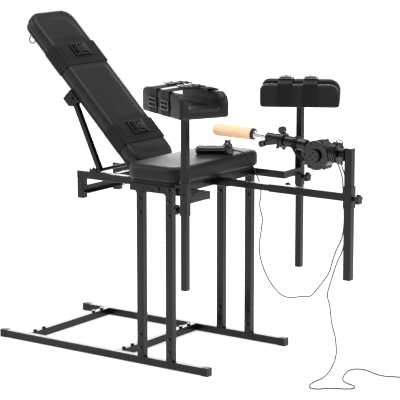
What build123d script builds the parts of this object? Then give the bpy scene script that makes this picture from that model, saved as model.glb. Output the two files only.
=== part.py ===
from build123d import *
import os
from math import sin, cos, tan, radians, degrees, atan2, sqrt, pi

os.makedirs("parts", exist_ok=True)

# ---------------------------------------------------------------- driving dimensions (mm)
XO, YO = -258.55, 4.42        # station frame -> part frame: origin under the middle of the footprint
TUBE, WALL, RAD = 30.0, 1.5, 3.0      # main square tube
SPIG = 26.0                 # joining spigots inside the main tube
ROW_Y = 268.0               # centre plane of each side frame
BASE_Z = 16.5               # centre of the floor rails (end caps stand on the floor)
RAIL_X0, RAIL_X1 = -497.0, 525.5
CAP = 33.0                  # end cap outside size
POST_XR, POST_XF = 213.3, 349.7       # rear and front posts
CROSS_XR, CROSS_XF = -369.8, 84.1     # rear and front cross members
STUB_TOP, STUB_LOW = 146.0, 568.0     # seams of the four posts
SEAT_Z = 695.0              # centre of the seat frame tubes
SEATR_X0, SEATR_X1 = 168.0, 374.0
BOLT_LO, BOLT_HI = (66.8, 118.0), (598.0, 650.5)
ARM_X = 506.4               # leg posts
ARM_Y = 391.8
SLEEVE_Z0, SLEEVE_Z1 = 636.0, 761.0
LEG = 25.0                  # leg post tube
LEG_LEN = 651.0
LEG_N_TOP, LEG_F_TOP = 1007.6, 952.6   # tops of the two leg posts
CR_L, CR_W, CR_H = 312.0, 196.0, 92.0 # leg rest cradle
CR_WALL, CR_FLOOR = 32.0, 33.0
CR_N_ANG, CR_F_ANG = -27.0, 30.0      # swivel of the cradles as they stand
BEAM_IN0, BEAM_IN1 = 330.0, 700.0     # inner beam tube
BEAM_X0, BEAM_X1 = 623.0, 951.0       # outer beam tube
MP_X = 968.6                # front post for the drive
MP_Z0, MP_Z1 = 382.0, 876.0
MS_Z0, MS_Z1 = 654.0, 737.0
RB_Y, RB_Z = 115.0, 680.5   # rear beams that carry the backrest
RB_X0 = -198.0
HX, HZ = 95.0, 680.5        # backrest hinge axis
FOOT_X, FOOT_Z = -106.5, 704.5        # prop foot rod
PIV_X, PIV_Z = -236.0, 982.0          # prop upper pivot
BACK_N, BACK_F = 546.0, 606.0         # back of board, front of cushion, along the normal
BACK_S0, BACK_S1 = 462.0, 1248.0
BACK_W = 256.0
TILT = 5.0                  # drive axis above horizontal
GX, GZ = 838.0, 842.0       # crank axis
AX_OFF = 25.0               # guide tube above crank axis
C45 = sqrt(0.5)


def P(x, y, z):
    return (x + XO, y + YO, z)


def pX(x, y, z):            # section plane of a tube running along X
    return Plane(P(x, y, z), x_dir=(0, 1, 0), z_dir=(1, 0, 0))


def pY(x, y, z):            # section plane of a tube running along Y
    return Plane(P(x, y, z), x_dir=(-1, 0, 0), z_dir=(0, 1, 0))


def pZ(x, y, z):
    return Plane(P(x, y, z), x_dir=(1, 0, 0), z_dir=(0, 0, 1))


def pSide(y):               # side elevation: local (x, z), extrudes towards -Y
    return Plane(P(0, y, 0), x_dir=(1, 0, 0), z_dir=(0, -1, 0))


def sq(size=TUBE, wall=WALL, r=RAD):
    RectangleRounded(size, size, r)
    RectangleRounded(size - 2 * wall, size - 2 * wall, max(r - wall, 0.6), mode=Mode.SUBTRACT)


def solid_sq(size, r=1.0):
    RectangleRounded(size, size, r)



def save(bp, name):
    bp.part.label = name
    export_step(bp.part, "parts/" + name + ".step")
    print(name, round(bp.part.volume / 1000, 1), "cm3")


SIDES = (("near", -1), ("far", 1))

# ---------------------------------------------------------------- base side frames
for tag, sy in SIDES:
    with BuildPart() as base_side:
        with BuildSketch(pX(RAIL_X0, sy * ROW_Y, BASE_Z)):
            sq()
        extrude(amount=RAIL_X1 - RAIL_X0)
        for x in (POST_XR, POST_XF):
            with BuildSketch(pZ(x, sy * ROW_Y, BASE_Z + 14.0)):
                sq()
            extrude(amount=STUB_TOP - BASE_Z - 14.0)
            for z in BOLT_LO:
                with BuildSketch(pY(x, sy * ROW_Y - 25, z)):
                    Circle(4.2)
                extrude(amount=50, mode=Mode.SUBTRACT)
        for x in (CROSS_XR, CROSS_XF):
            with BuildSketch(pY(x, -ROW_Y + 14.0 if sy < 0 else 110.0, BASE_Z)):
                sq()
            extrude(amount=ROW_Y - 14.0 - 110.0)
            for y in (163.0, 218.0):
                with BuildSketch(pZ(x, sy * y, -1)):
                    Circle(4.2)
                extrude(amount=40, mode=Mode.SUBTRACT)
    save(base_side, "base_side_" + tag)

# ---------------------------------------------------------------- cross members with spigots
with BuildPart() as base_cross_members:
    for x in (CROSS_XR, CROSS_XF):
        with BuildSketch(pY(x, -109.6, BASE_Z)):
            sq()
        extrude(amount=219.2)
        for s in (-1, 1):
            with BuildSketch(pY(x, -245.0 if s < 0 else 60.0, BASE_Z)):
                sq(SPIG, 2.0, 2.0)
            extrude(amount=185.0)
            with BuildSketch(pY(x, -107.0 if s < 0 else 99.0, BASE_Z)):
                sq(TUBE - 1.0, 3.5, 2.5)
            extrude(amount=8.0)
            for y in (163.0, 218.0):
                with BuildSketch(pZ(x, s * y, -1)):
                    Circle(4.2)
                extrude(amount=40, mode=Mode.SUBTRACT)
save(base_cross_members, "base_cross_members")

# ---------------------------------------------------------------- end caps of the floor rails
with BuildPart() as base_end_caps:
    for sy in (-1, 1):
        for x0, d in ((RAIL_X0 - 3.0, 1), (RAIL_X1 + 3.0, -1)):
            with BuildSketch(Plane(P(x0, sy * ROW_Y, BASE_Z), x_dir=(0, 1, 0), z_dir=(d, 0, 0))):
                RectangleRounded(CAP, CAP, 4.0)
            extrude(amount=28.0)
            for k in range(4):          # shallow ribs round the cap
                with BuildSketch(Plane(P(x0 + (5.0 + 6.0 * k) * d, sy * ROW_Y, BASE_Z), x_dir=(0, 1, 0), z_dir=(d, 0, 0))):
                    RectangleRounded(CAP + 4, CAP + 4, 4.0)
                    RectangleRounded(CAP - 1.0, CAP - 1.0, 3.6, mode=Mode.SUBTRACT)
                extrude(amount=2.2, mode=Mode.SUBTRACT)
            with BuildSketch(Plane(P(x0 + 3.0 * d, sy * ROW_Y, BASE_Z), x_dir=(0, 1, 0), z_dir=(d, 0, 0))):
                RectangleRounded(TUBE + 0.1, TUBE + 0.1, RAD)
            extrude(amount=26.0, mode=Mode.SUBTRACT)
save(base_end_caps, "base_end_caps")

# ---------------------------------------------------------------- four posts, spigots both ends
with BuildPart() as posts:
    for x in (POST_XR, POST_XF):
        for sy in (-1, 1):
            with BuildSketch(pZ(x, sy * ROW_Y, STUB_TOP + 0.4)):
                sq()
            extrude(amount=STUB_LOW - STUB_TOP - 0.8)
            for z0, zr, zb in ((45.0, STUB_TOP + 3.0, BOLT_LO), (508.0, STUB_LOW - 11.0, BOLT_HI)):
                with BuildSketch(pZ(x, sy * ROW_Y, z0)):
                    sq(SPIG, 2.0, 2.0)
                extrude(amount=160.0)
                with BuildSketch(pZ(x, sy * ROW_Y, zr)):
                    sq(TUBE - 1.0, 3.5, 2.5)
                extrude(amount=8.0)
                for z in zb:
                    with BuildSketch(pY(x, sy * ROW_Y - 25, z)):
                        Circle(4.2)
                    extrude(amount=50, mode=Mode.SUBTRACT)
save(posts, "posts")

# ---------------------------------------------------------------- seat side rails, stubs, corner webs
for tag, sy in SIDES:
    with BuildPart() as seat_rail:
        with BuildSketch(pX(SEATR_X0, sy * ROW_Y, SEAT_Z)):
            sq()
        extrude(amount=SEATR_X1 - SEATR_X0)
        for x in (POST_XR, POST_XF):
            with BuildSketch(pZ(x, sy * ROW_Y, STUB_LOW)):
                sq()
            extrude(amount=SEAT_Z - 14.0 - STUB_LOW)
            for z in BOLT_HI:
                with BuildSketch(pY(x, sy * ROW_Y - 25, z)):
                    Circle(4.2)
                extrude(amount=50, mode=Mode.SUBTRACT)
        for x in (300.0, 350.0):
            with BuildSketch(pY(x, sy * ROW_Y - 25, SEAT_Z + 1.0)):
                Circle(4.2)
            extrude(amount=50, mode=Mode.SUBTRACT)
        for x, d in ((POST_XR, 1), (POST_XR, -1), (POST_XF, -1)):
            for yy in (sy * ROW_Y - 9.5, sy * ROW_Y + 11.5):
                xs, zs = x + d * 14.9, SEAT_Z - 14.9
                with BuildSketch(pSide(yy)):
                    with BuildLine():
                        Line((xs, zs), (xs + d * 14.0, zs))
                        ThreePointArc((xs + d * 14.0, zs), (xs + d * 4.1, zs - 4.1), (xs, zs - 14.0))
                        Line((xs, zs - 14.0), (xs, zs))
                    make_face()
                extrude(amount=2.0)
    save(seat_rail, "seat_rail_" + tag)

with BuildPart() as seat_cross_tubes:
    for x in (SEATR_X0 + 16.0, SEATR_X1 - 16.0):
        with BuildSketch(pY(x, -ROW_Y + 15.1, SEAT_Z)):
            sq()
        extrude(amount=2 * ROW_Y - 30.2)
        for y in (-150.0, 150.0):
            with BuildSketch(pZ(x, y, SEAT_Z - 20)):
                Circle(3.2)
            extrude(amount=40, mode=Mode.SUBTRACT)
save(seat_cross_tubes, "seat_cross_tubes")

# receiver tube of the front beam: welded under the cross tubes' centre, in line with them
with BuildPart() as beam_receiver:
    with BuildSketch(pX(SEATR_X0 + 31.1, 0, SEAT_Z)):
        sq()
    extrude(amount=SEATR_X1 - 31.1 - SEATR_X0 - 31.1)
    with BuildSketch(pX(SEATR_X1 - 0.9, 0, SEAT_Z)):
        sq()
    extrude(amount=436.0 - SEATR_X1 + 0.9)
save(beam_receiver, "beam_receiver")

# fixed inner beam, runs through windows in the front cross tube
BX0 = SEATR_X1 - 0.5
with BuildPart() as beam_inner:
    with BuildSketch(pX(BX0, 0, SEAT_Z)):
        sq(25.0, 1.5, 2.0)
    extrude(amount=BEAM_IN1 - BX0)
save(beam_inner, "beam_inner")

# ---------------------------------------------------------------- rear beams for the backrest
for tag, sy in SIDES:
    with BuildPart() as rear_beam:
        with BuildSketch(pX(RB_X0 - 15.0, sy * RB_Y, RB_Z)):
            sq()
        extrude(amount=SEATR_X0 + 0.9 - RB_X0 + 15.0)
        with BuildSketch(pX(RB_X0 - 15.0, sy * RB_Y, RB_Z)):        # ends closed
            RectangleRounded(TUBE - 1.0, TUBE - 1.0, 2.5)
        extrude(amount=3.0)
        with BuildSketch(pZ(RB_X0, sy * RB_Y, 585.0)):
            RectangleRounded(TUBE - 1.0, TUBE - 1.0, 2.5)
        extrude(amount=3.0)
        with BuildSketch(pZ(RB_X0, sy * RB_Y, 585.0)):
            sq()
        extrude(amount=RB_Z - 14.0 - 585.0)
        with BuildSketch(pY(HX, sy * RB_Y - 20, HZ)):
            Circle(5.0)
        extrude(amount=40, mode=Mode.SUBTRACT)
    save(rear_beam, "rear_beam_" + tag)

with BuildPart() as rear_cross_members:
    # angle between the two drop tubes
    with BuildSketch(pY(0, -128.0, 0)):
        with BuildLine():
            Polyline((183.0 - 0.1, 608.0), (183.0 - 0.1, 637.0), (180.0, 637.0), (180.0, 611.0), (155.0, 611.0), (155.0, 608.0), close=True)
        make_face()
    extrude(amount=256.0)
    # short bar between the beams
    with BuildSketch(pY(-37.0, -99.9, 684.5)):
        RectangleRounded(25, 25, 2.5)
        RectangleRounded(22, 22, 1.2, mode=Mode.SUBTRACT)
    extrude(amount=199.8)
save(rear_cross_members, "rear_cross_members")

# stop plates behind the foot of the prop
with BuildPart() as prop_stop_plates:
    for sy in (-1, 1):
        with BuildSketch(pSide(sy * RB_Y + 14.0)):
            with BuildLine():
                Polyline((-150.0, RB_Z + 15.1), (-115.6, RB_Z + 15.1), (-115.6, 704.0), (-121.0, 712.0), (-129.0, 703.0),
                         (-134.0, 712.0), (-142.0, 703.0), (-150.0, 712.0), close=True)
            make_face()
        extrude(amount=4.0)
        with BuildSketch(pSide(sy * RB_Y - 10.0)):
            with BuildLine():
                Polyline((-150.0, RB_Z + 15.1), (-115.6, RB_Z + 15.1), (-115.6, 704.0), (-121.0, 712.0), (-129.0, 703.0),
                         (-134.0, 712.0), (-142.0, 703.0), (-150.0, 712.0), close=True)
            make_face()
        extrude(amount=4.0)
save(prop_stop_plates, "prop_stop_plates")

with BuildPart() as hinge_pin:
    with BuildSketch(pY(HX, -134.0, HZ)):
        Circle(5.0)
    extrude(amount=268.0)
    for y0 in (-138.0, 130.2):
        with BuildSketch(pY(HX, y0, HZ)):
            RegularPolygon(9.0, 6)
        extrude(amount=7.8)
save(hinge_pin, "hinge_pin")

# ---------------------------------------------------------------- seat
SX0, SX1, SYH = 145.0, 392.0, 285.0
with BuildPart() as seat_board:
    with BuildSketch(pZ((SX0 + SX1) / 2 - 2, 0, SEAT_Z + 15.2)):
        RectangleRounded(SX1 - SX0 - 16, 2 * SYH - 14, 48.0)
    extrude(amount=11.5)
save(seat_board, "seat_board")
with BuildPart() as seat_cushion:
    with BuildSketch(pZ((SX0 + SX1) / 2 + 2, 0, SEAT_Z + 27.2)):
        RectangleRounded(SX1 - SX0 + 8, 2 * SYH, 55.0)
    extrude(amount=61.0)
    fillet(seat_cushion.faces().sort_by(Axis.Z)[-1].edges(), 20.0)
    fillet(seat_cushion.faces().sort_by(Axis.Z)[0].edges(), 9.0)
save(seat_cushion, "seat_cushion")

# ---------------------------------------------------------------- bolts of the frame
with BuildPart() as frame_bolts:
    for sy in (-1, 1):
        o = sy * (ROW_Y + 15.05)          # outer face
        i = sy * (ROW_Y - 15.05)
        for x in (POST_XR, POST_XF):
            for z in BOLT_LO + BOLT_HI:
                with BuildSketch(Plane(P(x, o, z), x_dir=(1, 0, 0), z_dir=(0, sy, 0))):
                    Circle(6.5)
                extrude(amount=5.0)
                with BuildSketch(Plane(P(x, o, z), x_dir=(1, 0, 0), z_dir=(0, -sy, 0))):
                    Circle(4.0)
                extrude(amount=38.0)
                with BuildSketch(Plane(P(x, i, z), x_dir=(1, 0, 0), z_dir=(0, -sy, 0))):
                    RegularPolygon(7.3, 6)
                extrude(amount=6.0)
        for x in (300.0, 350.0):
            with BuildSketch(Plane(P(x, o, SEAT_Z + 1), x_dir=(1, 0, 0), z_dir=(0, sy, 0))):
                RegularPolygon(7.5, 6)
            extrude(amount=5.5)
            with BuildSketch(Plane(P(x, o, SEAT_Z + 1), x_dir=(1, 0, 0), z_dir=(0, -sy, 0))):
                Circle(4.0)
            extrude(amount=36.0)
            with BuildSketch(Plane(P(x, i, SEAT_Z + 1), x_dir=(1, 0, 0), z_dir=(0, -sy, 0))):
                RegularPolygon(5.2, 6)
            extrude(amount=6.0)
        for x in (CROSS_XR, CROSS_XF):
            for y in (163.0, 218.0):
                with BuildSketch(pZ(x, sy * y, BASE_Z - 15.4)):
                    Circle(4.0)
                extrude(amount=32.0)
                with BuildSketch(pZ(x, sy * y, BASE_Z + 15.05)):
                    Circle(7.5)
                extrude(amount=6.5)
    for x in (SEATR_X0 + 16.0, SEATR_X1 - 16.0):
        for y in (-150.0, 150.0):
            with BuildSketch(pZ(x, y, SEAT_Z - 15.05)):
                Circle(3.0)
            extrude(amount=30.0)
            with BuildSketch(pZ(x, y, SEAT_Z - 19.5)):
                Circle(6.0)
            extrude(amount=4.45)
save(frame_bolts, "frame_bolts")

# ---------------------------------------------------------------- arms that carry the leg posts
for tag, sy in SIDES:
    with BuildPart() as l_arm:
        with BuildSketch(pX(SEATR_X1 + 0.4, sy * ROW_Y, SEAT_Z)):
            sq()
        extrude(amount=ARM_X + 15.0 - SEATR_X1 - 0.4)
        with BuildSketch(pX(ARM_X + 12.0, sy * ROW_Y, SEAT_Z)):     # end closed
            RectangleRounded(TUBE - 1.0, TUBE - 1.0, 2.5)
        extrude(amount=3.0)
        with BuildSketch(Plane(P(ARM_X, sy * (ROW_Y + 14.0), SEAT_Z), x_dir=(1, 0, 0), z_dir=(0, sy, 0))):
            sq()
        extrude(amount=ARM_Y - 14.9 - ROW_Y - 14.0)
        with BuildSketch(pZ(ARM_X, sy * ARM_Y, SLEEVE_Z0)):
            sq()
        extrude(amount=SLEEVE_Z1 - SLEEVE_Z0)
        # spigot into the seat rail
        with BuildSketch(pX(262.0, sy * ROW_Y, SEAT_Z)):
            sq(SPIG, 2.0, 2.0)
        extrude(amount=150.0)
        with BuildSketch(pX(SEATR_X1 + 4.0, sy * ROW_Y, SEAT_Z)):
            sq(TUBE - 1.0, 3.5, 2.5)
        extrude(amount=8.0)
        for x in (300.0, 350.0):
            with BuildSketch(pY(x, sy * ROW_Y - 25, SEAT_Z + 1.0)):
                Circle(4.2)
            extrude(amount=50, mode=Mode.SUBTRACT)
        # nut bosses for the clamp screws
        d = -1 if sy < 0 else 1
        for z in ((725.0, 654.0) if sy < 0 else (737.0, 670.0)):
            with BuildSketch(Plane(P(ARM_X + d * 14.9, sy * ARM_Y, z), x_dir=(0, 1, 0), z_dir=(d, 0, 0))):
                RegularPolygon(8.5, 6)
            extrude(amount=8.1)
            with BuildSketch(Plane(P(ARM_X + d * 12.0, sy * ARM_Y, z), x_dir=(0, 1, 0), z_dir=(d, 0, 0))):
                Circle(4.05)
            extrude(amount=14.0, mode=Mode.SUBTRACT)
        with BuildSketch(Plane(P(ARM_X, sy * (ARM_Y + 14.9), 715.0), x_dir=(1, 0, 0), z_dir=(0, sy, 0))):
            Circle(5.0)
        extrude(amount=3.1)
    save(l_arm, "l_arm_" + tag)

# ---------------------------------------------------------------- leg posts
for tag, sy, top in (("near", -1, LEG_N_TOP), ("far", 1, LEG_F_TOP)):
    with BuildPart() as leg_post:
        with BuildSketch(pZ(ARM_X, sy * ARM_Y, top - LEG_LEN)):
            sq(LEG, 1.5, 2.0)
        extrude(amount=LEG_LEN)
        with BuildSketch(pZ(ARM_X, sy * ARM_Y, top - 34.0)):
            RectangleRounded(LEG - 2.0, LEG - 2.0, 1.0)
            Circle(8.05, mode=Mode.SUBTRACT)
        extrude(amount=34.0)
        with BuildSketch(pZ(ARM_X, sy * ARM_Y, top - LEG_LEN - 1.5)):
            RectangleRounded(LEG, LEG, 2.0)
        extrude(amount=6.0)
    save(leg_post, "leg_post_" + tag)

# ---------------------------------------------------------------- padded leg rests
for tag, sy, top, ang in (("near", -1, LEG_N_TOP, CR_N_ANG), ("far", 1, LEG_F_TOP, CR_F_ANG)):
    ca, sa = cos(radians(ang)), sin(radians(ang))
    cx, cy, cz = P(ARM_X, sy * ARM_Y, 0)
    zb = top + 0.5                        # underside of the plate
    zp = zb + 4.3                         # underside of the pad
    base_pl = Plane((cx, cy, zb), x_dir=(ca, sa, 0), z_dir=(0, 0, 1))
    with BuildPart() as cradle_base:
        with BuildSketch(base_pl):
            RectangleRounded(150.0, 100.0, 10.0)
        extrude(amount=4.0)
        with BuildSketch(Plane((cx, cy, zb), x_dir=(1, 0, 0), z_dir=(0, 0, -1))):
            Circle(8.0)
        extrude(amount=33.0)
    save(cradle_base, "cradle_base_" + tag)

    side_pl = Plane((cx + sa * CR_W / 2, cy - ca * CR_W / 2, zp), x_dir=(ca, sa, 0), z_dir=(-sa, ca, 0))
    # in this plane local y points along z_dir x x_dir
    up = side_pl.y_dir.Z
    with BuildPart() as cradle_pad:
        with BuildSketch(side_pl):
            with BuildLine():
                h, l2 = CR_H * up, CR_L / 2
                r1, r2, r3 = 28.0, 62.0, 12.0
                FilletPolyline((-l2, 0), (-l2, h), (l2, h), (l2, 0), (-l2, 0), radius=12.0, close=False)
            make_face()
        extrude(amount=CR_W)
        vs = cradle_pad.edges().filter_by(lambda e: abs(e.length - CR_W) < 0.5)
        end_pl = Plane((cx - ca * (CR_L / 2 + 5), cy - sa * (CR_L / 2 + 5), zp + CR_FLOOR + 60.0),
                       x_dir=(-sa, ca, 0), z_dir=(ca, sa, 0))
        with BuildSketch(end_pl):
            with Locations((0, 0)):
                RectangleRounded(CR_W - 2 * CR_WALL, 120.0, 14.0)
        extrude(amount=CR_L + 10, mode=Mode.SUBTRACT)
        # large radius at the front top corner, small one at the rear
        for sgn, r in ((1, 62.0), (-1, 26.0)):
            with BuildSketch(side_pl):
                with BuildLine():
                    x1, h = sgn * CR_L / 2, CR_H * up
                    m = r * (1 - C45)
                    Polyline((x1 - sgn * r, h), (x1 - sgn * r, h + 20 * up), (x1 + sgn * 20, h + 20 * up), (x1 + sgn * 20, h - r * up), (x1, h - r * up))
                    ThreePointArc((x1, h - r * up), (x1 - sgn * m, h - m * up), (x1 - sgn * r, h))
                make_face()
            extrude(amount=CR_W, mode=Mode.SUBTRACT)
    save(cradle_pad, "cradle_pad_" + tag)

    with BuildPart() as cradle_straps:
        for u in (-58.0, 40.0):
            ux, uy = cx + ca * (u - 28.0), cy + sa * (u - 28.0)
            pl = Plane((ux, uy, zp), x_dir=(-sa, ca, 0), z_dir=(ca, sa, 0))
            W2, H2 = CR_W / 2 + 0.5, CR_H + 0.6
            yy = pl.y_dir.Z
            with BuildSketch(pl):
                with BuildLine():
                    Polyline((-W2, 4 * yy), (-W2, H2 * yy), (-W2 + 4, (H2 + 1) * yy), (0, (H2 + 9) * yy), (W2 - 4, (H2 + 1) * yy), (W2, H2 * yy), (W2, 4 * yy),
                             (W2 + 2.2, 4 * yy), (W2 + 2.2, (H2 + 1) * yy), (W2 - 3, (H2 + 3.4) * yy), (0, (H2 + 11.4) * yy), (-W2 + 3, (H2 + 3.4) * yy), (-W2 - 2.2, (H2 + 1) * yy), (-W2 - 2.2, 4 * yy), close=True)
                make_face()
            extrude(amount=56.0)
    save(cradle_straps, "cradle_straps_" + tag)

    with BuildPart() as cradle_buckles:
        for u in (-58.0, 40.0):
            pl = Plane((cx + ca * u, cy + sa * u, zp + CR_H + 12.2), x_dir=(-sa, ca, 0), z_dir=(0, 0, 1))
            with BuildSketch(pl):
                RectangleRounded(86.0, 44.0, 6.0)
            extrude(amount=9.0)
            with BuildSketch(pl.offset(2.5)):
                for q in (-34.0, 34.0):
                    with Locations((q, 0)):
                        Rectangle(5.0, 60.0)
            extrude(amount=4.0)
            # slider on the outer wall
            so = Plane((cx + ca * u + sa * sy * -1 * (CR_W / 2 + 2.9), cy + sa * u + ca * sy * (CR_W / 2 + 2.9), zp + 44.0),
                       x_dir=(ca, sa, 0), z_dir=(-sa * sy, ca * sy, 0))
            with BuildSketch(so):
                RectangleRounded(62.0, 36.0, 4.0)
                with Locations((0, 9), (0, -9)):
                    Rectangle(48.0, 8.0, mode=Mode.SUBTRACT)
            extrude(amount=3.5)
    save(cradle_buckles, "cradle_buckles_" + tag)

# ---------------------------------------------------------------- backrest
def pB(y):                  # side plane of the backrest: local (n, s), extrudes towards +Y
    return Plane(P(0, y, 0), x_dir=(C45, 0, C45), z_dir=(0, 1, 0))


# with z_dir +Y and x_dir = front normal, local y points down the slope
SGN = pB(0).y_dir.X * -C45 + pB(0).y_dir.Z * C45      # +1 when local y runs up the slope


def pN(n, y, s):            # plane parallel to the front face, local x = Y, local y = along slope
    return Plane(P((n - s) * C45, y, (n + s) * C45), x_dir=(0, 1, 0), z_dir=(C45, 0, C45))


SL = pN(0, 0, 0).y_dir.X * -C45 + pN(0, 0, 0).y_dir.Z * C45
SMID, SLEN = (BACK_S0 + BACK_S1) / 2, BACK_S1 - BACK_S0
with BuildPart() as backrest_board:
    with BuildSketch(pN(BACK_N, 0, SMID)):
        RectangleRounded(BACK_W - 12, SLEN - 12, 54.0)
    extrude(amount=11.6)
save(backrest_board, "backrest_board")
with BuildPart() as backrest_cushion:
    with BuildSketch(pN(BACK_N + 12.0, 0, SMID)):
        RectangleRounded(BACK_W, SLEN, 58.0)
    extrude(amount=BACK_F - BACK_N - 12.0)
    fillet(backrest_cushion.faces().sort_by(Axis((0, 0, 0), (C45, 0, C45)))[-1].edges(), 17.0)
    fillet(backrest_cushion.faces().sort_by(Axis((0, 0, 0), (C45, 0, C45)))[0].edges(), 6.0)
save(backrest_cushion, "backrest_cushion")

with BuildPart() as backrest_straps:
    for s0, s1 in ((964.0, 1070.0), (560.0, 657.0)):
        m = (s0 + s1) / 2
        pl = Plane(P((0 - s0) * C45, 0, (0 + s0) * C45), x_dir=(0, 1, 0), z_dir=(-C45, 0, C45))
        nd = pl.y_dir.X * C45 + pl.y_dir.Z * C45
        nm = (BACK_N + BACK_F) / 2
        with BuildSketch(pl):
            with Locations((0, nm * nd)):
                RectangleRounded(BACK_W + 5.2, BACK_F - BACK_N + 5.2, 11.0)
                RectangleRounded(BACK_W + 0.8, BACK_F - BACK_N + 0.8, 8.5, mode=Mode.SUBTRACT)
        extrude(amount=s1 - s0)
        with BuildSketch(pN(BACK_F + 2.5, 0, m + 8)):
            Rectangle(206.0, 54.0)
        extrude(amount=1.8)
save(backrest_straps, "backrest_straps")

with BuildPart() as backrest_buckles:
    for m in (1017.0 + 14, 608.5 + 14):
        with BuildSketch(pN(BACK_F + 4.6, 0, m)):
            RectangleRounded(64.0, 58.0, 6.0)
        extrude(amount=9.0)
        with BuildSketch(pN(BACK_F + 4.6, -44.0, m)):
            RectangleRounded(16.0, 62.0, 3.0)
        extrude(amount=7.0)
        with BuildSketch(pN(BACK_F + 4.6, 44.0, m)):
            RectangleRounded(10.0, 60.0, 3.0)
        extrude(amount=7.0)
save(backrest_buckles, "backrest_buckles")

with BuildPart() as backrest_frame:
    for sy in (-1, 1):
        # rail up the back, standing on pads clear of the straps
        with BuildSketch(Plane(P((533.0 - 455.0) * C45, sy * 84.0, (533.0 + 455.0) * C45), x_dir=(0, 1, 0), z_dir=(-C45, 0, C45))):
            RectangleRounded(20.0, 20.0, 2.0)
            RectangleRounded(17.0, 17.0, 0.8, mode=Mode.SUBTRACT)
        extrude(amount=445.0)
        for s0, s1 in ((480.0, 552.0), (668.0, 900.0)):
            with BuildSketch(pN(542.8, sy * 84.0, (s0 + s1) / 2)):
                Rectangle(20.0, s1 - s0)
            extrude(amount=3.1)
        # hinge lug
        with BuildSketch(pB(93.6 if sy > 0 else -98.5)):
            with BuildLine():
                Polyline((523.0, SGN * 500.0), (543.0, SGN * 500.0), (545.0, SGN * 466.0), (560.0, SGN * 456.0), (565.0, SGN * 414.0), (548.4, SGN * 398.0), (531.0, SGN * 414.0), (523.0, SGN * 470.0), close=True)
            make_face()
        extrude(amount=4.9)
        with BuildSketch(pY(HX, sy * 96.0 - 10, HZ)):
            Circle(5.05)
        extrude(amount=20.0, mode=Mode.SUBTRACT)
        # prop bracket: base plate and two ears
        with BuildSketch(pN(542.8, sy * RB_Y, 861.0)):
            Rectangle(27.0, 60.0)
        extrude(amount=3.1)
        for y0 in (101.5, 125.4):
            yy = y0 if sy > 0 else -y0 - 3.1
            with BuildSketch(pB(yy)):
                with BuildLine():
                    Polyline((543.5, SGN * 831.0), (543.5, SGN * 891.0), (492.0, SGN * 891.0), (492.0, SGN * 851.0), (512.0, SGN * 831.0), close=True)
                make_face()
            extrude(amount=3.1)
        with BuildSketch(pY(PIV_X, sy * RB_Y - 18.0, PIV_Z)):
            Circle(4.0)
        extrude(amount=36.0)
        for y0 in (-19.0, 13.8):
            with BuildSketch(pY(PIV_X, sy * RB_Y + y0, PIV_Z)):
                RegularPolygon(6.8, 6)
            extrude(amount=5.2)
        # tab between bracket and rail
        with BuildSketch(pN(542.8, sy * 98.0, 861.0)):
            Rectangle(10.0, 40.0)
        extrude(amount=3.1)
    # ring on the back
    rc = P((524.0 - 1173.0) * C45, -100.0, (524.0 + 1173.0) * C45)
    with BuildSketch(pN(542.8, -100.0, 1173.0)):
        Rectangle(26.0, 22.0)
    extrude(amount=3.1)
    with BuildSketch(pN(534.0, -100.0, 1173.0)):
        RectangleRounded(14.0, 7.0, 2.0)
    extrude(amount=10.0)
    with Locations(Location(rc, (90, 0, 0))):
        Torus(15.0, 2.2)
save(backrest_frame, "backrest_frame")

# ---------------------------------------------------------------- prop
PD = ((FOOT_X - PIV_X), (FOOT_Z - PIV_Z))
PL = sqrt(PD[0] ** 2 + PD[1] ** 2)
PDX, PDZ = PD[0] / PL, PD[1] / PL
with BuildPart() as prop_strut:
    for sy in (-1, 1):
        with BuildSketch(Plane(P(PIV_X - 9.5 * PDX, sy * RB_Y, PIV_Z - 9.5 * PDZ), x_dir=(0, 1, 0), z_dir=(PDX, 0, PDZ))):
            RectangleRounded(20.0, 20.0, 2.0)
            RectangleRounded(17.0, 17.0, 0.8, mode=Mode.SUBTRACT)
        extrude(amount=PL + 12.0)
        with BuildSketch(pY(PIV_X, sy * RB_Y - 9.9, PIV_Z)):
            Circle(6.5)
        extrude(amount=19.8)
        with BuildSketch(pY(PIV_X, sy * RB_Y - 15, PIV_Z)):
            Circle(4.05)
        extrude(amount=30.0, mode=Mode.SUBTRACT)
    with BuildSketch(pY(FOOT_X, -128.0, FOOT_Z)):
        Circle(7.5)
    extrude(amount=256.0)
save(prop_strut, "prop_strut")

# ---------------------------------------------------------------- front beam, sleeve and post of the drive
with BuildPart() as beam_outer:
    with BuildSketch(pX(BEAM_X0, 0, SEAT_Z)):
        sq()
    extrude(amount=BEAM_X1 - BEAM_X0)
    with BuildSketch(pZ(MP_X, 0, MS_Z0)):
        RectangleRounded(36.0, 36.0, 3.0)
        RectangleRounded(32.0, 32.0, 1.5, mode=Mode.SUBTRACT)
    extrude(amount=MS_Z1 - MS_Z0)
    with BuildSketch(Plane(P(676.0, 14.9, SEAT_Z), x_dir=(1, 0, 0), z_dir=(0, 1, 0))):
        RegularPolygon(8.5, 6)
    extrude(amount=8.1)
    with BuildSketch(Plane(P(676.0, 12.0, SEAT_Z), x_dir=(1, 0, 0), z_dir=(0, 1, 0))):
        Circle(4.05)
    extrude(amount=14.0, mode=Mode.SUBTRACT)
    with BuildSketch(Plane(P(MP_X + 17.9, 0, 690.0), x_dir=(0, 1, 0), z_dir=(1, 0, 0))):
        RegularPolygon(8.5, 6)
    extrude(amount=8.1)
    with BuildSketch(Plane(P(MP_X + 14.0, 0, 690.0), x_dir=(0, 1, 0), z_dir=(1, 0, 0))):
        Circle(4.05)
    extrude(amount=16.0, mode=Mode.SUBTRACT)
save(beam_outer, "beam_outer")

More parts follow.
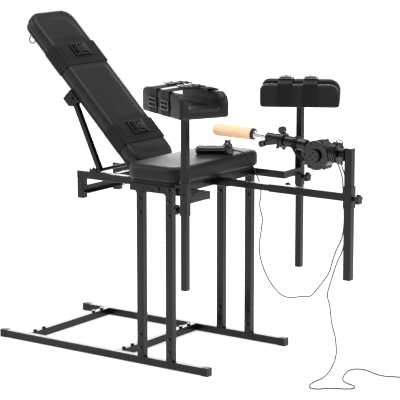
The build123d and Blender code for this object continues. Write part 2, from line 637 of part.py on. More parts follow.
with BuildPart() as machine_post:
    with BuildSketch(pZ(MP_X, 0, MP_Z0)):
        sq()
    extrude(amount=MP_Z1 - MP_Z0)
    with BuildSketch(pZ(MP_X, 0, MP_Z1)):
        RectangleRounded(31.0, 31.0, 3.0)
    extrude(amount=3.0)
save(machine_post, "machine_post")

# ---------------------------------------------------------------- star knobs with clamp screws
KNOBS = (("knob_leg_near_upper", (ARM_X - 23.0, -ARM_Y, 725.0), (-1, 0, 0), 10.2),
         ("knob_leg_near_lower", (ARM_X - 23.0, -ARM_Y, 654.0), (-1, 0, 0), 10.2),
         ("knob_leg_far_upper", (ARM_X + 23.0, ARM_Y, 737.0), (1, 0, 0), 10.2),
         ("knob_leg_far_lower", (ARM_X + 23.0, ARM_Y, 670.0), (1, 0, 0), 10.2),
         ("knob_beam", (676.0, 23.0, SEAT_Z), (0, 1, 0), 10.2),
         ("knob_machine", (MP_X + 26.0, 0.0, 690.0), (1, 0, 0), 10.6))
for nm, o, d, tip in KNOBS:
    xd = (0, 0, 1)
    with BuildPart() as knob:
        with BuildSketch(Plane(P(o[0] + d[0] * 1.0, o[1] + d[1] * 1.0, o[2]), x_dir=xd, z_dir=d)):
            Circle(9.5)
        extrude(amount=7.0)
        with BuildSketch(Plane(P(o[0] + d[0] * 7.5, o[1] + d[1] * 7.5, o[2]), x_dir=xd, z_dir=d)):
            Circle(15.0)
            with PolarLocations(13.5, 5):
                Circle(6.2)
        extrude(amount=15.0)
        fillet(knob.faces().sort_by(Axis((0, 0, 0), d))[-1].edges(), 2.5)
        with BuildSketch(Plane(P(o[0] + d[0] * 5.0, o[1] + d[1] * 5.0, o[2]), x_dir=xd, z_dir=(-d[0], -d[1], -d[2]))):
            Circle(4.0)
        extrude(amount=5.0 + tip)
    save(knob, nm)

# ---------------------------------------------------------------- drive
CT, ST = cos(radians(TILT)), sin(radians(TILT))


def pM(u, w=0.0, y=0.0):    # section plane on the drive axis, u forward from the crank axis, w above the drive axis
    return Plane(P(GX - u * CT + (AX_OFF + w) * ST, y, GZ + u * ST + (AX_OFF + w) * CT), x_dir=(0, 1, 0), z_dir=(-CT, 0, ST))


TRX, TRZ = 938.0, 853.0     # tilt knuckle
with BuildPart() as gearbox_housing:
    with BuildSketch(pY(GX, -32.0, GZ)):
        Circle(56.0)
    extrude(amount=64.0)
    fillet(gearbox_housing.edges().filter_by(GeomType.CIRCLE), 6.0)
    with BuildSketch(pY(GX, -27.0, GZ)):
        Circle(46.0)
    extrude(amount=54.0, mode=Mode.SUBTRACT)
    with BuildSketch(pY(GX, -40.0, GZ)):
        Circle(27.0)
    extrude(amount=20.0, mode=Mode.SUBTRACT)
    with BuildSketch(pY(GX, 20.0, GZ)):
        Circle(6.05)
    extrude(amount=20.0, mode=Mode.SUBTRACT)
    # cover screws on ears round the rim
    with Locations(Location(P(GX, -32.0, GZ), (90, 0, 0))):
        with PolarLocations(50.0, 6):
            Cylinder(5.5, 8.0)
    with Locations(Location(P(GX, 0, GZ), (90, 0, 0))):
        with PolarLocations(54.0, 3, start_angle=68.0):
            Cylinder(9.0, 44.0)
    with BuildSketch(pY(GX, -27.0, GZ)):
        Circle(46.0)
    extrude(amount=54.0, mode=Mode.SUBTRACT)
    with BuildSketch(pM(40.0)):         # slot for the rod through the front of the housing
        Circle(13.0)
    extrude(amount=20.0, mode=Mode.SUBTRACT)
save(gearbox_housing, "gearbox_housing")

with BuildPart() as guide_tube:
    with BuildSketch(pM(56.3)):
        Circle(21.5)
        Circle(14.0, mode=Mode.SUBTRACT)
    extrude(amount=136.0)
    with BuildSketch(pM(185.0)):
        Circle(19.0)
        Circle(9.08, mode=Mode.SUBTRACT)
    extrude(amount=48.0)
    with BuildSketch(pM(153.0)):        # clamp collar
        Circle(30.0)
        Circle(20.0, mode=Mode.SUBTRACT)
    extrude(amount=14.0)
    with BuildSketch(Plane(P(674.0, -9.0, 920.0), x_dir=(1, 0, 0), z_dir=(0, 1, 0))):
        Circle(14.0)
    extrude(amount=18.0)
    with BuildSketch(Plane(P(677.0, 0, 893.0), x_dir=(1, 0, 0), z_dir=(0, 0, 1))):
        Circle(6.0)
    extrude(amount=20.0)
    # side lever: arm and ball
    with BuildSketch(pSide(-19.5)):
        with BuildLine():
            Polyline((590.0 + 12, 871.0), (596.0 + 12, 857.0), (668.0, 868.0), (668.0, 890.0), close=True)
        make_face()
    extrude(amount=8.0)
    with BuildSketch(pY(600.0, -33.0, 864.0)):
        Circle(13.0)
    extrude(amount=22.0)
    for x, z in ((653.0, 852.0), (681.0, 850.0)):
        with BuildSketch(pZ(x, 0, z)):
            Circle(4.5)
        extrude(amount=20.0)
        with BuildSketch(pZ(x, 0, z - 4)):
            Circle(7.0)
        extrude(amount=7.0)
    with BuildSketch(pM(170.0)):
        Circle(9.08)
    extrude(amount=80.0, mode=Mode.SUBTRACT)
    with BuildSketch(pM(50.0)):
        Circle(13.9)
    extrude(amount=132.0, mode=Mode.SUBTRACT)
save(guide_tube, "guide_tube")

with BuildPart() as front_bracket:      # bent straps from a band on the guide tube down to the housing
    with BuildSketch(pM(96.0)):
        Circle(26.0)
        Circle(21.6, mode=Mode.SUBTRACT)
    extrude(amount=14.0)
    with BuildSketch(pY(779.5, -26.4, 816.0)):
        Circle(5.0)
    extrude(amount=52.8)
    with BuildSketch(pSide(26.5)):
        with BuildLine():
            Polyline((724.0, 870.0), (748.0, 836.0), (777.0, 812.0), (781.0, 820.0), (756.0, 842.0), (733.0, 873.0), close=True)
        make_face()
    extrude(amount=4.5)
    with BuildSketch(pSide(-22.0)):
        with BuildLine():
            Polyline((724.0, 870.0), (748.0, 836.0), (777.0, 812.0), (781.0, 820.0), (756.0, 842.0), (733.0, 873.0), close=True)
        make_face()
    extrude(amount=4.5)
save(front_bracket, "front_bracket")

with BuildPart() as motor_housing:
    with BuildSketch(pX(GX + 57.0, 0, 856.0)):
        Circle(33.0)
    extrude(amount=6.0)
    for x0, w, r in ((62.0, 5.0, 40.0), (67.0, 3.0, 37.5), (70.0, 6.0, 40.0), (76.0, 3.0, 37.5), (79.0, 4.0, 40.0), (83.0, 5.0, 35.0)):
        with BuildSketch(pX(GX + x0 - 0.05, 0, 856.0)):
            Circle(r)
        extrude(amount=w + 0.1)
    with BuildSketch(pSide(6.5)):       # eye of the knuckle
        with BuildLine():
            Polyline((924.0, TRZ + 12.0), (TRX, TRZ + 10.3))
            ThreePointArc((TRX, TRZ + 10.3), (TRX + 10.3, TRZ), (TRX, TRZ - 10.3))
            Polyline((TRX, TRZ - 10.3), (924.0, TRZ - 12.0), (924.0, TRZ + 12.0))
        make_face()
    extrude(amount=13.0)
    with BuildSketch(pY(TRX, -8.0, TRZ)):
        Circle(5.05)
    extrude(amount=16.0, mode=Mode.SUBTRACT)
    for gx, gy in ((906.0, 24.0), (919.5, 24.0)):      # cable glands underneath
        with BuildSketch(pZ(gx, gy, 808.0)):
            Circle(5.5)
        extrude(amount=34.0)
    with Locations(Location(P(917.0, 10.0, 888.0), (90, 0, 0))):    # loop of lead on top
        Torus(15.0, 2.2)
save(motor_housing, "motor_housing")

with BuildPart() as post_clamp:         # plate on the post with two ears and the pin of the knuckle
    with BuildSketch(pX(949.5, 0, TRZ)):
        RectangleRounded(42.0, 46.0, 4.0)
    extrude(amount=MP_X - 15.0 - 949.5)
    for y1 in (13.0, -7.0):
        with BuildSketch(pSide(y1)):
            with BuildLine():
                Polyline((TRX, TRZ + 11.0), (950.0, TRZ + 11.0), (950.0, TRZ - 11.0), (TRX, TRZ - 11.0))
                ThreePointArc((TRX, TRZ - 11.0), (TRX - 11.0, TRZ), (TRX, TRZ + 11.0))
            make_face()
        extrude(amount=6.0)
    with BuildSketch(pY(TRX, -20.0, TRZ)):
        Circle(5.0)
    extrude(amount=40.0)
    for y0 in (-19.0, 13.0):
        with BuildSketch(pY(TRX, y0, TRZ)):
            RegularPolygon(8.5, 6)
        extrude(amount=6.0)
    for z in (TRZ - 17.0, TRZ + 17.0):  # bolts into the post
        with BuildSketch(pX(944.0, 0, z)):
            RegularPolygon(5.5, 6)
        extrude(amount=6.0)
save(post_clamp, "post_clamp")

with BuildPart() as crank_wheel:
    with BuildSketch(pY(GX, -24.0, GZ)):
        Circle(40.0)
    extrude(amount=10.0)
    with BuildSketch(pY(GX, -46.0, GZ)):
        Circle(24.0)
        with PolarLocations(13.0, 4):
            Circle(3.0, mode=Mode.SUBTRACT)
    extrude(amount=24.0)
    with BuildSketch(pY(GX, -20.0, GZ)):
        Circle(6.0)
    extrude(amount=58.0)
save(crank_wheel, "crank_wheel")

with BuildPart() as drive_rod:
    with BuildSketch(pM(72.0)):
        Circle(9.0)
    extrude(amount=226.0)
    with BuildSketch(pM(290.0)):
        Circle(14.0)
    extrude(amount=5.0)
    with BuildSketch(pM(295.0)):
        Circle(22.0)
    extrude(amount=5.6)
save(drive_rod, "drive_rod")

AX0 = P(GX - 301.5 * CT + AX_OFF * ST, 0, GZ + 301.5 * ST + AX_OFF * CT)
with BuildPart() as rod_attachment:     # plain tapered sleeve with a rounded end
    with BuildSketch(Plane(AX0, x_dir=(0, 1, 0), z_dir=(-1, 0, 0.02))):
        Circle(23.5)
    extrude(amount=178.0, taper=-0.35)
    fillet(rod_attachment.faces().sort_by(Axis.X)[0].edges(), 19.0)
    fillet(rod_attachment.faces().sort_by(Axis.X)[-1].edges(), 3.0)
    with BuildSketch(pM(290.0)):
        Circle(30.0)
    extrude(amount=11.2, mode=Mode.SUBTRACT)
save(rod_attachment, "rod_attachment")

# ---------------------------------------------------------------- hand controller lying on the seat
HA = radians(39.9)
HCX, HCY, HCZ = 260.0, 17.5, SEAT_Z + 27.2 + 61.0 + 19.1
HD = (cos(HA), sin(HA), 0)


def pH(s, w=0.0):           # section plane of the handset
    return Plane(P(HCX + HD[0] * s, HCY + HD[1] * s, HCZ + w), x_dir=(-HD[1], HD[0], 0), z_dir=HD)


def pHT(s, w):              # horizontal plane on the handset
    return Plane(P(HCX + HD[0] * s, HCY + HD[1] * s, HCZ + w), x_dir=HD, z_dir=(0, 0, 1))


with BuildPart() as handset_body:
    with BuildSketch(pH(0.5)):
        Circle(18.5)
    extrude(amount=30.0)
    fillet(handset_body.edges().filter_by(GeomType.CIRCLE), 13.0)
    with BuildSketch(pH(16.0, -1.0)):
        Circle(15.5)
    extrude(amount=96.0)
    with BuildSketch(pHT(127.0, -18.0)):
        Circle(20.5)
    extrude(amount=46.0)
    fillet(handset_body.faces().sort_by(Axis.Z)[-1].edges(), 9.0)
    with BuildSketch(pHT(135.5, -18.0)):
        Circle(14.5)
    extrude(amount=24.0)
    with BuildSketch(pHT(127.0, 10.0)):
        Circle(4.05)
    extrude(amount=20.0, mode=Mode.SUBTRACT)
    with BuildSketch(pHT(86.0, 5.0)):
        Circle(4.55)
    extrude(amount=20.0, mode=Mode.SUBTRACT)
save(handset_body, "handset_body")
with BuildPart() as handset_dial:
    with BuildSketch(pHT(127.0, 28.4)):
        Circle(11.0)
        with PolarLocations(11.0, 10):
            Circle(1.5)
    extrude(amount=11.0)
    with BuildSketch(pHT(127.0, 14.0)):
        Circle(4.0)
    extrude(amount=16.0)
save(handset_dial, "handset_dial")
with BuildPart() as handset_button:
    with BuildSketch(pHT(86.0, 8.5)):
        Circle(4.5)
    extrude(amount=8.5)
save(handset_button, "handset_button")

# ---------------------------------------------------------------- cables
CORD_D = 5.0
HANDSET_ROUTE = (
    (374.6, 113.2, 800.0), (410.4, 139.5, 792.9), (432.0, 153.2, 755.8), (459.7, 139.5, 718.4),
    (490.5, 126.2, 683.3), (506.1, 114.9, 640.8), (500.4, 107.0, 594.3), (521.6, 102.0, 550.9),
    (518.3, 97.8, 503.5), (512.1, 94.4, 455.4), (513.4, 91.4, 407.1), (530.1, 89.1, 361.6),
    (554.2, 86.3, 319.6), (587.2, 83.1, 284.4), (627.1, 79.8, 256.9), (673.0, 75.1, 255.4),
    (718.7, 70.4, 270.6), (766.4, 65.0, 274.8), (797.3, 61.3, 311.6), (828.2, 58.2, 348.9),
    (856.8, 54.6, 387.8), (870.6, 49.6, 434.0), (889.1, 44.8, 478.3), (914.1, 40.6, 519.6),
    (925.3, 37.2, 566.6), (927.8, 35.5, 615.1), (925.8, 33.8, 663.6), (922.6, 32.0, 712.0),
    (921.0, 31.0, 765.0), (906.0, 24.0, 806.7),
)
MAINS_ROUTE = (
    (919.5, 24.0, 806.7), (933.0, 28.0, 770.9), (936.8, 27.0, 734.0), (937.4, 28.6, 696.9),
    (937.9, 30.0, 659.8), (937.9, 31.1, 622.7), (936.9, 33.2, 585.6), (933.8, 34.7, 548.6),
    (929.0, 35.6, 511.7), (920.8, 35.8, 475.5), (903.5, 34.0, 442.6), (890.7, 32.6, 407.8),
    (881.1, 31.0, 371.9), (869.5, 29.3, 336.7), (860.8, 27.5, 301.2), (876.2, 25.4, 267.5),
    (882.8, 22.6, 231.4), (889.4, 19.0, 195.5), (905.7, 15.2, 162.4), (915.5, 9.4, 127.1),
    (922.4, 2.6, 91.1), (917.9, -7.5, 56.0), (906.0, -19.6, 22.9), (895.1, -44.2, 3.2),
    (892.8, -81.1, 3.2), (894.2, -118.3, 3.2), (900.6, -154.8, 3.2), (919.9, -186.1, 3.2),
    (954.7, -185.5, 3.2), (974.7, -154.4, 3.2), (1005.1, -133.7, 3.2), (1040.4, -122.0, 3.2),
    (1062.9, -94.5, 3.2), (1041.9, -66.1, 3.2), (1006.0, -56.7, 3.2), (974.8, -36.9, 3.2),
    (955.3, -5.4, 3.2), (940.5, 28.7, 3.2), (926.8, 63.3, 3.2), (919.4, 99.6, 3.2),
    (931.0, 134.0, 3.2), (965.2, 142.7, 3.2), (999.7, 129.5, 3.2), (1032.6, 112.1, 3.2),
    (1068.5, 106.5, 3.2), (1102.7, 121.2, 3.2), (1136.9, 135.7, 3.2), (1172.0, 148.0, 3.2),
)


def arc_radii(pts):
    out = []
    for a, b, c in zip(pts, pts[1:], pts[2:]):
        u, v = Vector(*b) - Vector(*a), Vector(*c) - Vector(*b)
        turn = radians(max(u.get_angle(v), 0.05))
        out.append(round(min(0.45 * min(u.length, v.length) / tan(turn / 2), 5000.0), 2))
    return out


for nm, route in (("handset_cord", HANDSET_ROUTE), ("mains_cord", MAINS_ROUTE)):
    pts = [P(*q) for q in route]
    radii = arc_radii(pts)
    d0 = Vector(*pts[1]) - Vector(*pts[0])
    with BuildPart() as cord:
        with BuildLine() as path:
            FilletPolyline(*pts, radius=radii)
        with BuildSketch(Plane(pts[0], z_dir=d0.normalized())):
            Circle(CORD_D / 2)
        sweep()
    save(cord, nm)
    print(nm, "length", round(path.wire().length, 1), "radii", sorted(radii)[:6])

COIL_X, COIL_Y = 1162.6, 173.9
with BuildPart() as mains_coil:         # wound rest of the mains cable
    with BuildSketch(pZ(COIL_X, COIL_Y, 0.7)):
        Circle(33.0)
        Circle(22.0, mode=Mode.SUBTRACT)
    extrude(amount=11.0)
save(mains_coil, "mains_coil")
with BuildPart() as mains_plug:
    with BuildSketch(pX(COIL_X + 40.0, COIL_Y - 30.3, 10.0)):
        RectangleRounded(26.0, 18.0, 6.0)
    extrude(amount=36.0)
    for dy in (-9.5, 9.5):
        with BuildSketch(pX(COIL_X + 75.0, COIL_Y - 30.3 + dy, 10.0)):
            Circle(2.4)
        extrude(amount=20.0)
save(mains_plug, "mains_plug")
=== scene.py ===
import bpy, bmesh
from math import sin, cos, pi, radians, sqrt, atan2, degrees
from mathutils import Vector, Matrix, noise


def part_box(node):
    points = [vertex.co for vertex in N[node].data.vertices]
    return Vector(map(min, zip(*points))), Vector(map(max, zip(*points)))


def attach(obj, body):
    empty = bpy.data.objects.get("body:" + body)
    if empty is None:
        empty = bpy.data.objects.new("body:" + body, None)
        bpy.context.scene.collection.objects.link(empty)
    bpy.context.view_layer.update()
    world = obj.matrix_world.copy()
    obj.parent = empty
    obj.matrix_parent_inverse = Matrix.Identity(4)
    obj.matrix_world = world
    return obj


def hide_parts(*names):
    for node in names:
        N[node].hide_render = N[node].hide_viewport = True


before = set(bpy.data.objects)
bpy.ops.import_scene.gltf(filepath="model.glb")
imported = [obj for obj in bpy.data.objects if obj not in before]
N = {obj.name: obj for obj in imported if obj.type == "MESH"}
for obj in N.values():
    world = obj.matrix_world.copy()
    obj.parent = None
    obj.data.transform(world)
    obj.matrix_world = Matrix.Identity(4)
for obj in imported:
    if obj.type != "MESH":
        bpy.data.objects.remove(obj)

for _n in ("Cube", "Light", "Camera"):      # the start-up scene's own objects
    if bpy.data.objects.get(_n):
        bpy.data.objects.remove(bpy.data.objects[_n])
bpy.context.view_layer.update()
XO, YO = -0.25855, 0.00442


def P(x, y, z):
    """station millimetres to the row frame in metres"""
    return Vector((x / 1000 + XO, y / 1000 + YO, z / 1000))


# ------------------------------------------------------------------ camera
cam_data = bpy.data.cameras.new("cam")
cam = bpy.data.objects.new("cam", cam_data)
bpy.context.scene.collection.objects.link(cam)
cam_data.sensor_width = 36.0
cam_data.lens = 169.42
cam_data.clip_start, cam_data.clip_end = 0.1, 60.0
cam.location = P(4451.2, -5882.2, 1992.0)
cam.rotation_euler = (radians(90 - 10.86), 0, radians(35.24))
bpy.context.scene.camera = cam


# ------------------------------------------------------------------ materials
def new_mat(name):
    m = bpy.data.materials.new(name)
    m.use_nodes = True
    nt = m.node_tree
    b = nt.nodes["Principled BSDF"]
    return m, nt, b


def add(nt, kind, **kw):
    n = nt.nodes.new(kind)
    for k, v in kw.items():
        setattr(n, k, v)
    return n


def coords(nt, scale=(1, 1, 1)):
    tc = add(nt, "ShaderNodeTexCoord")
    mp = add(nt, "ShaderNodeMapping")
    mp.inputs["Scale"].default_value = scale
    nt.links.new(tc.outputs["Object"], mp.inputs["Vector"])
    return mp.outputs["Vector"]


def noise_tex(nt, vec, scale, detail=3.0, rough=0.5):
    t = add(nt, "ShaderNodeTexNoise")
    t.inputs["Scale"].default_value = scale
    t.inputs["Detail"].default_value = detail
    t.inputs["Roughness"].default_value = rough
    nt.links.new(vec, t.inputs["Vector"])
    return t.outputs["Fac"]


def ramp(nt, fac, stops):
    r = add(nt, "ShaderNodeValToRGB")
    e = r.color_ramp.elements
    e[0].position, e[0].color = stops[0][0], (*stops[0][1], 1)
    e[1].position, e[1].color = stops[-1][0], (*stops[-1][1], 1)
    for p, c in stops[1:-1]:
        k = e.new(p); k.color = (*c, 1)
    nt.links.new(fac, r.inputs["Fac"])
    return r.outputs["Color"]


def rng(nt, fac, lo, hi):
    m = add(nt, "ShaderNodeMapRange")
    m.inputs["To Min"].default_value = lo
    m.inputs["To Max"].default_value = hi
    nt.links.new(fac, m.inputs["Value"])
    return m.outputs["Result"]


def bump(nt, b, height, dist, strength=1.0, prev=None):
    n = add(nt, "ShaderNodeBump")
    n.inputs["Strength"].default_value = strength
    n.inputs["Distance"].default_value = dist
    nt.links.new(height, n.inputs["Height"])
    if prev is not None:
        nt.links.new(prev, n.inputs["Normal"])
    nt.links.new(n.outputs["Normal"], b.inputs["Normal"])
    return n.outputs["Normal"]


def grey(v):
    return (v, v, v)


def coated(name, c0, c1, r0, r1, grain=900.0, dist=0.00008, coat=0.0, spec=0.5, metal=0.0):
    m, nt, b = new_mat(name)
    v = coords(nt)
    broad = noise_tex(nt, v, 14.0, 4.0)
    fine = noise_tex(nt, v, grain, 2.0)
    nt.links.new(ramp(nt, broad, [(0.3, c0), (0.7, c1)]), b.inputs["Base Color"])
    nt.links.new(rng(nt, noise_tex(nt, v, 60.0, 3.0), r0, r1), b.inputs["Roughness"])
    b.inputs["Specular IOR Level"].default_value = spec
    b.inputs["Coat Weight"].default_value = coat
    b.inputs["Coat Roughness"].default_value = 0.12
    b.inputs["Metallic"].default_value = metal
    bump(nt, b, fine, dist, 0.6)
    return m


M_STEEL = coated("powder_coat", grey(0.002), grey(0.0035), 0.2, 0.3, 1400.0, 0.00004, 0.0, 0.27)
M_BOLT = coated("bolt_black", grey(0.012), grey(0.03), 0.2, 0.34, 2200.0, 0.00004, 0.0, 0.5, 0.5)
M_PLASTIC = coated("moulded_plastic", grey(0.002), grey(0.005), 0.26, 0.4, 2600.0, 0.00005, 0.0, 0.3)
M_BUCKLE = coated("buckle_plastic", grey(0.002), grey(0.005), 0.14, 0.24, 2600.0, 0.00003, 0.0, 0.5)
M_GLOSS = coated("gloss_plastic", grey(0.0015), grey(0.003), 0.05, 0.1, 700.0, 0.00001, 0.4, 0.5)
M_CAST = coated("cast_housing", grey(0.002), grey(0.005), 0.14, 0.26, 1500.0, 0.00006, 0.15, 0.45)
M_WHITE = coated("white_plastic", grey(0.7), grey(0.78), 0.3, 0.4, 2600.0, 0.00003)
M_CABLE = coated("cable_jacket", grey(0.004), grey(0.008), 0.42, 0.55, 1800.0, 0.00004, 0.0, 0.3)
M_BOARD = coated("board_cover", grey(0.003), grey(0.006), 0.6, 0.75, 500.0, 0.0002, 0.0, 0.3)


def chrome():
    m, nt, b = new_mat("chrome")
    v = coords(nt)
    b.inputs["Metallic"].default_value = 1.0
    nt.links.new(ramp(nt, noise_tex(nt, v, 8.0), [(0.3, (0.60, 0.61, 0.64)), (0.7, (0.70, 0.71, 0.74))]), b.inputs["Base Color"])
    nt.links.new(rng(nt, noise_tex(nt, v, 60.0), 0.14, 0.22), b.inputs["Roughness"])
    bump(nt, b, noise_tex(nt, v, 900.0), 0.000002, 0.2)
    return m


def soft_tan():
    m, nt, b = new_mat("soft_tan")
    v = coords(nt)
    nt.links.new(ramp(nt, noise_tex(nt, v, 22.0, 5.0, 0.6), [(0.25, (0.80, 0.45, 0.25)), (0.55, (0.87, 0.55, 0.34)), (0.8, (0.91, 0.62, 0.42))]), b.inputs["Base Color"])
    nt.links.new(rng(nt, noise_tex(nt, v, 90.0), 0.38, 0.55), b.inputs["Roughness"])
    b.inputs["Subsurface Weight"].default_value = 0.15
    b.inputs["Subsurface Radius"].default_value = (0.012, 0.006, 0.003)
    bump(nt, b, noise_tex(nt, v, 500.0), 0.00015, 0.4)
    return m


def vinyl(name, c0, c1, r0=0.34, r1=0.46):
    m, nt, b = new_mat(name)
    v = coords(nt)
    vo = add(nt, "ShaderNodeTexVoronoi", feature="DISTANCE_TO_EDGE")
    vo.inputs["Scale"].default_value = 620.0
    wob = add(nt, "ShaderNodeTexNoise")
    wob.inputs["Scale"].default_value = 300.0
    nt.links.new(v, wob.inputs["Vector"])
    mix = add(nt, "ShaderNodeVectorMath", operation="MULTIPLY_ADD")
    mix.inputs[1].default_value = (0.0012, 0.0012, 0.0012)
    nt.links.new(wob.outputs["Color"], mix.inputs[0])
    nt.links.new(v, mix.inputs[2])
    nt.links.new(mix.outputs["Vector"], vo.inputs["Vector"])
    nt.links.new(ramp(nt, noise_tex(nt, v, 9.0, 4.0), [(0.3, c0), (0.7, c1)]), b.inputs["Base Color"])
    nt.links.new(rng(nt, noise_tex(nt, v, 40.0, 4.0), r0, r1), b.inputs["Roughness"])
    b.inputs["Specular IOR Level"].default_value = 0.24
    b.inputs["Sheen Weight"].default_value = 0.01
    n1 = bump(nt, b, vo.outputs["Distance"], 0.00018, 0.55)
    wr = noise_tex(nt, v, 26.0, 5.0, 0.62)
    bump(nt, b, wr, 0.0022, 0.35, n1)
    return m


M_VINYL = vinyl("vinyl", grey(0.0045), grey(0.0075), 0.36, 0.48)
M_VINYL_SEAT = vinyl("vinyl_seat", grey(0.004), grey(0.006), 0.38, 0.5)
M_PIPING = vinyl("vinyl_piping", grey(0.012), grey(0.018), 0.35, 0.45)


def webbing(name, axis_long, axis_wide, c0=0.0025, c1=0.0075):
    """ribbed weave: ribs along one world direction, fine cross threads along the other"""
    m, nt, b = new_mat(name)
    tc = add(nt, "ShaderNodeTexCoord")
    hs = []
    for ax, per in ((axis_wide, 0.0022), (axis_long, 0.0016)):
        d = add(nt, "ShaderNodeVectorMath", operation="DOT_PRODUCT")
        d.inputs[1].default_value = ax
        nt.links.new(tc.outputs["Object"], d.inputs[0])
        mu = add(nt, "ShaderNodeMath", operation="MULTIPLY")
        mu.inputs[1].default_value = 2 * pi / per
        nt.links.new(d.outputs["Value"], mu.inputs[0])
        si = add(nt, "ShaderNodeMath", operation="SINE")
        nt.links.new(mu.outputs[0], si.inputs[0])
        hs.append(si.outputs[0])
    pr = add(nt, "ShaderNodeMath", operation="MULTIPLY")
    nt.links.new(hs[0], pr.inputs[0]); nt.links.new(hs[1], pr.inputs[1])
    sm = add(nt, "ShaderNodeMath", operation="ADD")
    nt.links.new(pr.outputs[0], sm.inputs[0]); nt.links.new(hs[0], sm.inputs[1])
    nt.links.new(ramp(nt, rng(nt, sm.outputs[0], 0.3, 0.7), [(0.2, grey(c0)), (0.8, grey(c1))]), b.inputs["Base Color"])
    b.inputs["Roughness"].default_value = 0.78
    b.inputs["Specular IOR Level"].default_value = 0.2
    b.inputs["Sheen Weight"].default_value = 0.04
    bump(nt, b, sm.outputs[0], 0.00016, 0.6)
    return m


C45 = sqrt(0.5)
M_WEB_BACK = webbing("webbing_back", (0, 1, 0), (-C45, 0, C45))


def paint(node, mat):
    o = N[node]
    o.data.materials.clear()
    o.data.materials.append(mat)
    return o


for k in N:
    if k.startswith(("base_side", "base_cross", "posts", "seat_rail", "seat_cross", "beam_", "rear_", "prop_", "l_arm", "leg_post", "machine_post", "post_clamp", "front_bracket", "backrest_frame", "cradle_base")):
        paint(k, M_STEEL)
for k in ("hinge_pin", "frame_bolts"):
    paint(k, M_BOLT)
for k in N:
    if k.startswith(("knob_", "base_end")):
        paint(k, M_PLASTIC)
for k in ("seat_board", "backrest_board"):
    paint(k, M_BOARD)
for k in ("gearbox_housing", "motor_housing", "guide_tube", "crank_wheel"):
    paint(k, M_CAST)
paint("drive_rod", chrome())
paint("rod_attachment", soft_tan())
for k in ("handset_body", "handset_dial"):
    paint(k, M_GLOSS)
paint("handset_button", M_WHITE)
paint("mains_plug", M_PLASTIC)
paint("backrest_straps", M_WEB_BACK)
for t, a in (("near", radians(-27.0)), ("far", radians(30.0))):
    paint("cradle_straps_" + t, webbing("webbing_rest_" + t, (-sin(a), cos(a), 0.3), (cos(a), sin(a), 0)))
    paint("cradle_buckles_" + t, M_BUCKLE)
paint("backrest_buckles", M_BUCKLE)


# ------------------------------------------------------------------ pieces
def link(o):
    bpy.context.scene.collection.objects.link(o)
    return o


def mesh_obj(name, bm, mat, smooth=True):
    me = bpy.data.meshes.new(name)
    bm.normal_update()
    bm.to_mesh(me); bm.free()
    if smooth:
        for p in me.polygons:
            p.use_smooth = True
    me.materials.append(mat)
    return link(bpy.data.objects.new(name, me))


def shade_by_angle(o, ang=35.0):
    me = o.data
    for p in me.polygons:
        p.use_smooth = True
    me.set_sharp_from_angle(angle=radians(ang))


for k, o in N.items():
    pass

HANDSET_ROUTE = (
    (374.6, 113.2, 800.0), (410.4, 139.5, 792.9), (432.0, 153.2, 755.8), (459.7, 139.5, 718.4),
    (490.5, 126.2, 683.3), (506.1, 114.9, 640.8), (500.4, 107.0, 594.3), (521.6, 102.0, 550.9),
    (518.3, 97.8, 503.5), (512.1, 94.4, 455.4), (513.4, 91.4, 407.1), (530.1, 89.1, 361.6),
    (554.2, 86.3, 319.6), (587.2, 83.1, 284.4), (627.1, 79.8, 256.9), (673.0, 75.1, 255.4),
    (718.7, 70.4, 270.6), (766.4, 65.0, 274.8), (797.3, 61.3, 311.6), (828.2, 58.2, 348.9),
    (856.8, 54.6, 387.8), (870.6, 49.6, 434.0), (889.1, 44.8, 478.3), (914.1, 40.6, 519.6),
    (925.3, 37.2, 566.6), (927.8, 35.5, 615.1), (925.8, 33.8, 663.6), (922.6, 32.0, 712.0),
    (921.0, 31.0, 765.0), (906.0, 24.0, 806.7),
)
MAINS_ROUTE = (
    (919.5, 24.0, 806.7), (933.0, 28.0, 770.9), (936.8, 27.0, 734.0), (937.4, 28.6, 696.9),
    (937.9, 30.0, 659.8), (937.9, 31.1, 622.7), (936.9, 33.2, 585.6), (933.8, 34.7, 548.6),
    (929.0, 35.6, 511.7), (920.8, 35.8, 475.5), (903.5, 34.0, 442.6), (890.7, 32.6, 407.8),
    (881.1, 31.0, 371.9), (869.5, 29.3, 336.7), (860.8, 27.5, 301.2), (876.2, 25.4, 267.5),
    (882.8, 22.6, 231.4), (889.4, 19.0, 195.5), (905.7, 15.2, 162.4), (915.5, 9.4, 127.1),
    (922.4, 2.6, 91.1), (917.9, -7.5, 56.0), (906.0, -19.6, 22.9), (895.1, -44.2, 3.2),
    (892.8, -81.1, 3.2), (894.2, -118.3, 3.2), (900.6, -154.8, 3.2), (919.9, -186.1, 3.2),
    (954.7, -185.5, 3.2), (974.7, -154.4, 3.2), (1005.1, -133.7, 3.2), (1040.4, -122.0, 3.2),
    (1062.9, -94.5, 3.2), (1041.9, -66.1, 3.2), (1006.0, -56.7, 3.2), (974.8, -36.9, 3.2),
    (955.3, -5.4, 3.2), (940.5, 28.7, 3.2), (926.8, 63.3, 3.2), (919.4, 99.6, 3.2),
    (931.0, 134.0, 3.2), (965.2, 142.7, 3.2), (999.7, 129.5, 3.2), (1032.6, 112.1, 3.2),
    (1068.5, 106.5, 3.2), (1102.7, 121.2, 3.2), (1136.9, 135.7, 3.2), (1172.0, 148.0, 3.2),
)

